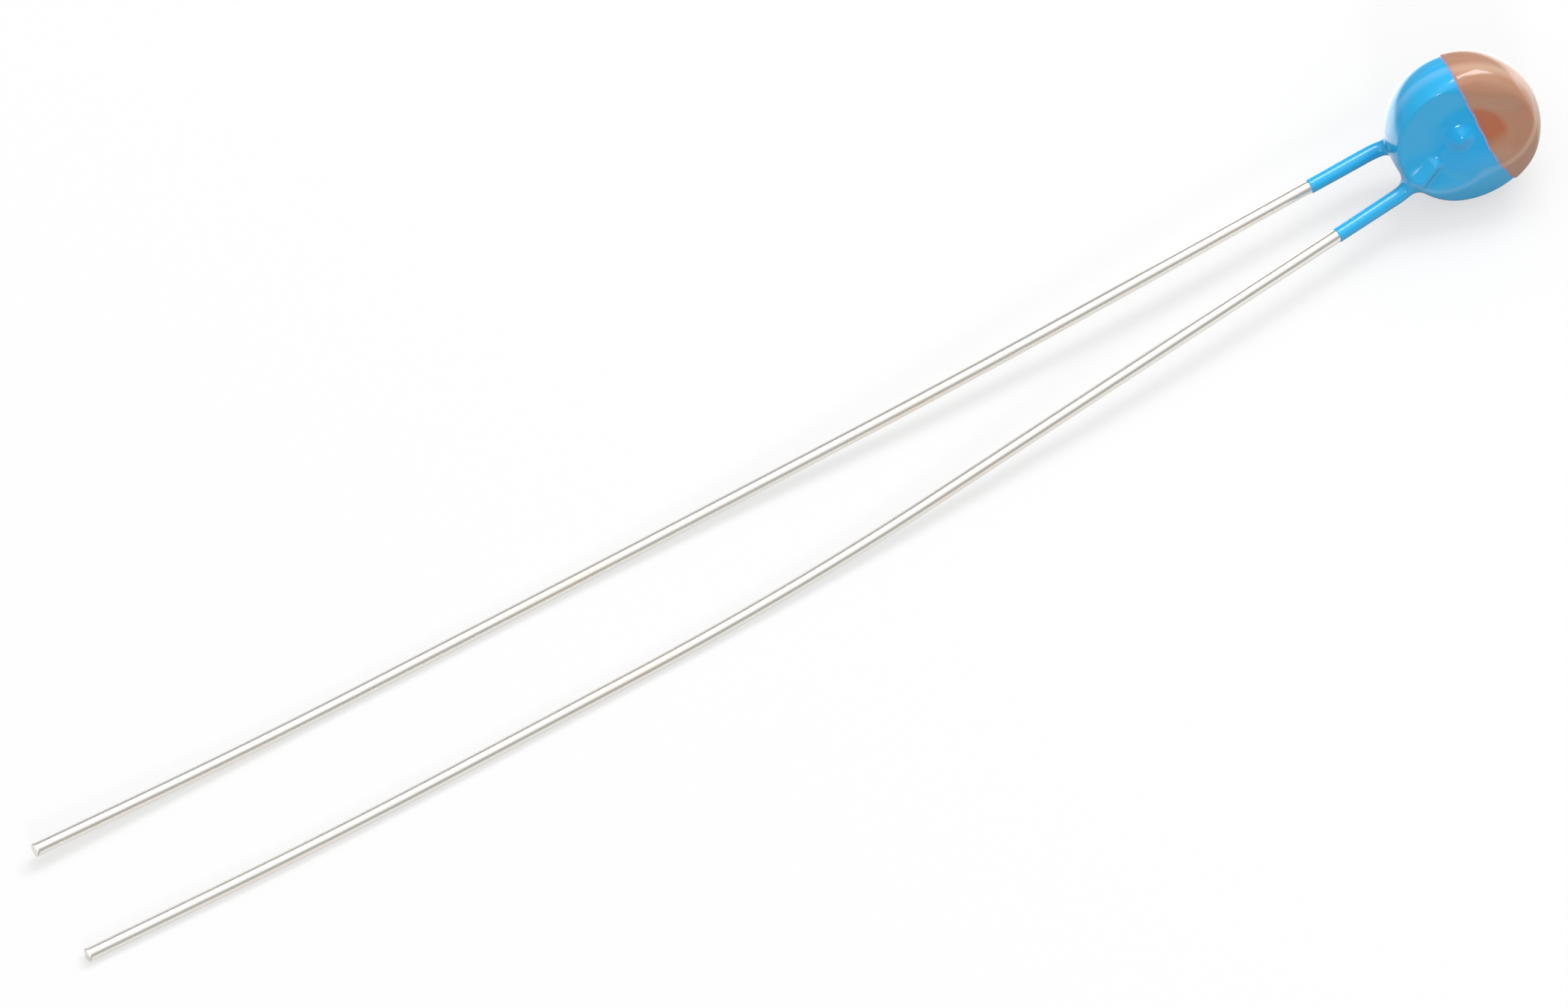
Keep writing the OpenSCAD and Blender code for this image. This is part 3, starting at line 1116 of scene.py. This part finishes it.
@dataclass
class Camera:
    """The camera, far off on a long lens, which frames the part as a wide picture."""

    azimuth: float = -31.5
    elevation: float = 60.0
    lens: float = 800.0
    sensor: float = 36.0
    clip: Pair = (0.01, 10.0)
    picture: tuple[int, int] = (2098, 1348)
    pixels_per_mm: float = 48.5
    disc_pixel: Pair = (1955.75, 168.85)

    def build(self, disc: Disc) -> None:
        """Puts the camera where the disc's middle falls on its pixel.

        Args:
            disc: The disc.
        """
        az = np.radians(self.azimuth)
        back = direction(self.azimuth, self.elevation)
        right = np.array([np.cos(az), np.sin(az), 0.0])
        up = np.cross(back, right)
        width, height = self.picture
        across = (width / 2 - self.disc_pixel[0]) / self.pixels_per_mm
        upward = (self.disc_pixel[1] - height / 2) / self.pixels_per_mm
        target = disc.centre + across * right + upward * up
        distance = self.lens * width / self.pixels_per_mm / self.sensor
        data = bpy.data.cameras.new("camera")
        data.lens, data.sensor_width = self.lens, self.sensor
        data.clip_start, data.clip_end = self.clip
        bpy.context.scene.camera = hang(data, (target + distance * back) * MM, back)


@dataclass(frozen=True)
class Lamp:
    """A square softbox, placed by the way its light comes from."""

    name: str
    azimuth: float
    elevation: float
    size: float
    distance: float
    watts: float

    def build(self, target: Array) -> None:
        """Hangs the lamp round the target, pointing at it.

        Args:
            target: Where it points, in millimetres.
        """
        way = direction(self.azimuth, self.elevation)
        data = bpy.data.lights.new(self.name, "AREA")
        data.shape, data.size, data.energy = "SQUARE", self.size, self.watts
        hang(data, target * MM + way * self.distance, way)


@dataclass
class Studio:
    """Pale floor, a bright ceiling over darker walls, and three softboxes.

    An edge is where something on the floor begins and is full, in metres. The foot and the top of
    the wall are heights of the direction that is looked in.
    """

    # the floor as the camera sees it
    floor_half: float = 1.0
    floor_colour: Colour = (0.31, 0.31, 0.31)
    floor_glow: float = 0.575
    # the floor as gloss mirrors it
    back_glow: float = 2.6
    right_drop: float = 1.5
    lead_glow: float = 0.42
    back_edge: Pair = (-0.001, 0.004)
    disc_edge: Pair = (0.0120, 0.0165)
    right_edge: Pair = (0.022, 0.030)
    far_edge: Pair = (0.006, 0.011)
    shade_reach: float = 0.0075
    shade_samples: int = 8
    # the room's light, and the room as gloss mirrors it
    ceiling: float = 1.1
    wall: float = 0.60
    mirrored_ceiling: float = 1.0
    mirrored_wall: float = 0.38
    far_table: float = 0.95
    wall_foot: Pair = (0.0, 0.09)
    wall_top: Pair = (0.64, 0.82)
    backdrop: float = 0.97
    lamps: tuple[Lamp, ...] = (
        Lamp("softbox_right", 112.0, 50.0, 0.22, 0.6, 1.15),
        Lamp("softbox_behind", 142.0, 64.0, 0.22, 0.6, 0.95),
        Lamp("softbox_front", -24.0, 31.0, 0.10, 0.6, 0.55),
    )

    def floor_light(self, shader: Shader) -> Socket:
        """Grey of the floor's glow, which only the camera and reflections see.

        Formula: the camera sees one even glow. Gloss mirrors a brighter one behind the disc, less
        to the right, times the cube of how open the floor is there. Beside the leads it is lower,
        and far behind there is none.

        Args:
            shader: The floor's shader.

        Returns:
            The glow.
        """
        seen, mirrored = shader.ray("Camera"), shader.ray("Glossy")
        settings, sockets = {"samples": self.shade_samples}, {"Distance": self.shade_reach}
        open_to = shader.node("ShaderNodeAmbientOcclusion", settings, sockets, "AO")
        place = shader.coordinates("Object")
        right, far = shader.axis(place, 0), shader.axis(place, 1)
        drop = right.step(*self.right_edge) * self.right_drop
        behind = far.step(*self.back_edge) * (self.back_glow - drop)
        shaded = open_to * open_to * open_to * (behind + self.floor_glow)
        by_disc = right.step(*self.disc_edge)
        beside = by_disc * (shaded - self.lead_glow) + self.lead_glow
        return seen * self.floor_glow + mirrored * beside * (1.0 - far.step(*self.far_edge))

    def floor(self) -> None:
        """Lays the floor, a square sheet of matt paper."""
        half = self.floor_half / MM
        signs = np.array([[-1, -1, 0], [1, -1, 0], [1, 1, 0], [-1, 1, 0]])
        shader = Shader(bpy.data.materials.new("floor_paper"))
        paper = shader.surface(
            {
                "Base Color": self.floor_colour,
                "Roughness": 1.0,
                "Specular IOR Level": 0.0,
                "Emission Color": self.floor_light(shader),
                "Emission Strength": 1.0,
            }
        )
        write_piece("floor", half * signs, np.array([[0, 1, 2, 3]]), {}, paper)

    def surroundings(self) -> None:
        """Sets the light of the room by the height of the direction that it comes from."""
        world = bpy.data.worlds.new("room")
        shader = Shader(world)
        height = shader.axis(shader.coordinates("Generated"), 2)
        above = height.step(*self.wall_top)
        below = 1.0 - height.step(*self.wall_foot)
        even = above * (self.ceiling - self.wall) + self.wall
        mirrored = above * (self.mirrored_ceiling - self.mirrored_wall) + self.mirrored_wall
        mirrored = mirrored + below * (self.far_table - self.mirrored_wall)
        seen, glossy = shader.ray("Camera"), shader.ray("Glossy")
        light = seen * self.backdrop + glossy * mirrored + (1.0 - seen - glossy) * even
        body = shader.node("ShaderNodeBackground", {}, {"Color": WHITE, "Strength": light})
        shader.node("ShaderNodeOutputWorld", {}, {"Surface": body})
        bpy.context.scene.world = world

    def build(self, target: Array) -> None:
        """Makes the floor, the surroundings and the lamps.

        Args:
            target: Where the lamps point, in millimetres.
        """
        self.floor()
        self.surroundings()
        for lamp in self.lamps:
            lamp.build(target)


# -------- assembly


@dataclass
class Thermistor:
    """The whole part."""

    disc: Disc = field(default_factory=Disc)

    def leads(self) -> tuple[Lead, Lead]:
        """The two leads: the front one lies flat, and the tip of the back one rises.

        Returns:
            The front lead and the back lead.
        """
        front = Lead(
            "tinned_front_lead", "front_lead", self.disc,
            side=1, fan=26.5, offset=0.47, bend_gap=0.15, sleeve=2.4,
            stretches=(
                Stretch(7.6, 5.5, 0.0),
                Stretch(13.3, 3.6, 1.0),
                Stretch(14.5, 0.0, 1.0),
                Stretch(7.8, -2.3, 1.0),
            ),
        )
        upper, lower = 6.7, 10.4
        back = Lead(
            "tinned_back_lead", "back_lead", self.disc,
            side=-1, fan=14.0, offset=0.45, bend_gap=0.28, sleeve=2.25,
            stretches=(
                Stretch(6.9, 1.2, 0.0),
                Stretch(upper, -0.8, upper / (upper + lower)),
                Stretch(lower, -2.0, 1.0),
                Stretch(11.8, -0.7, 1.0),
                Stretch(7.0, -1.5, 1.0, lift=0.3),
            ),
        )
        return front, back

    def dress_core(self) -> None:
        """Gives the pieces inside the lacquer their finishes."""
        finishes = {
            "ceramic_disc": Finish.CERAMIC,
            "front_electrode": Finish.ELECTRODE,
            "back_electrode": Finish.ELECTRODE,
            "front_solder": Finish.SOLDER,
            "back_solder": Finish.SOLDER,
        }
        made = {finish: finish.value.material() for finish in dict.fromkeys(finishes.values())}
        for name, finish in finishes.items():
            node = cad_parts[name]
            node.data.materials.clear()
            node.data.materials.append(made[finish])
            log.info("%s dressed as %s", name, finish.value.name)

    def keep(self, piece: bpy.types.Object, node: str) -> None:
        """Lets a piece stand for its CAD node.

        Args:
            piece: The piece.
            node: Name of the node.
        """
        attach(piece, "root")
        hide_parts(node)
        log.info("%s: %d faces", piece.name, len(piece.data.polygons))

    def build(self) -> None:
        """Makes every piece."""
        leads = self.leads()
        for lead in leads:
            self.keep(lead.build(), lead.node)
        coat = Coat(self.disc, leads)
        self.keep(coat.build(), "blue_coating")
        self.keep(Cap(coat).build(), "brown_coating")
        self.dress_core()


def main() -> None:
    """Builds the camera, the part and the studio in order."""
    logging.basicConfig(level=logging.INFO, format="%(name)s: %(message)s")
    bpy.context.scene.view_settings.view_transform = "Standard"
    part = Thermistor()
    Camera().build(part.disc)
    part.build()
    Studio().build(part.disc.centre)


if __name__ == "__main__":
    main()
